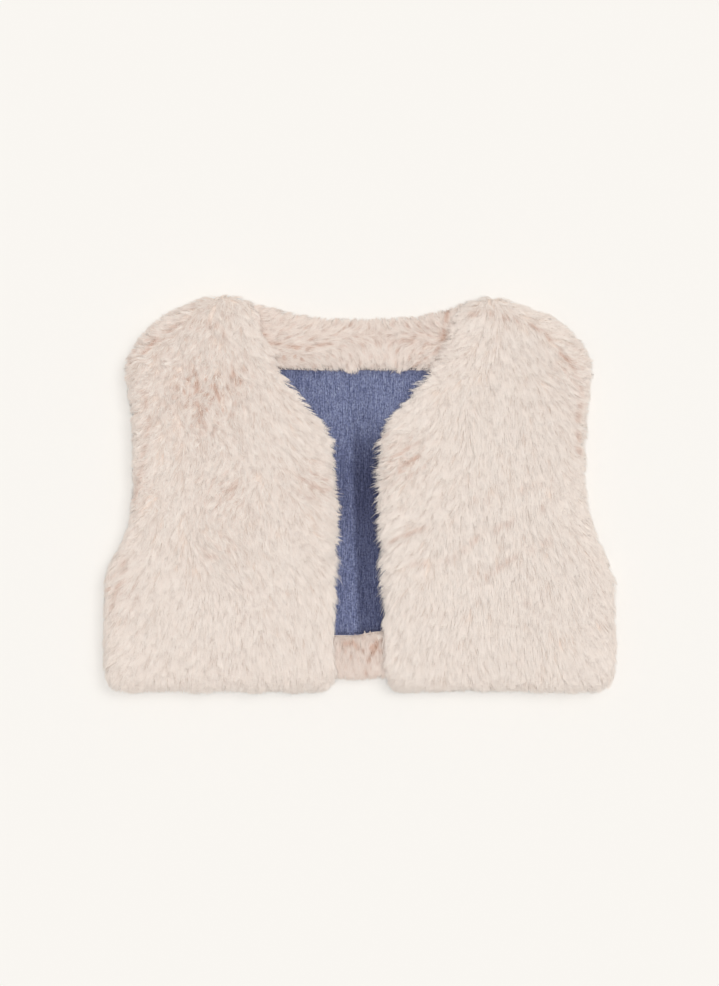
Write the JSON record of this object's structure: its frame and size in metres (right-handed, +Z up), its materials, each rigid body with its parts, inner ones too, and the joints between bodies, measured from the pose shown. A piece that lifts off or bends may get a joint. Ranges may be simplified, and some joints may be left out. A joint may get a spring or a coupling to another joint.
{
  "type": "faux fur vest",
  "caption": "Child's cropped sleeveless faux fur vest with open fronts, V neck, fur facings and a denim back lining, laid out flat.",
  "frame": {"origin": "centre of the surface under the vest as it lies flat on its back", "axes": "+X to the wearer's left along the hem, +Y towards the neck, +Z up from the surface"},
  "size_m": [0.3702, 0.288, 0.0283],
  "materials": {
    "fur": "soft long-pile faux fur, pale pinkish cream, matt",
    "denim": "light mottled indigo denim, matt"
  },
  "bodies": {
    "root": {"back": "fur", "front_left": "fur", "front_right": "fur", "back_neck_facing": "fur", "back_hem_facing": "fur", "back_lining": "denim"}
  },
  "joints": []
}
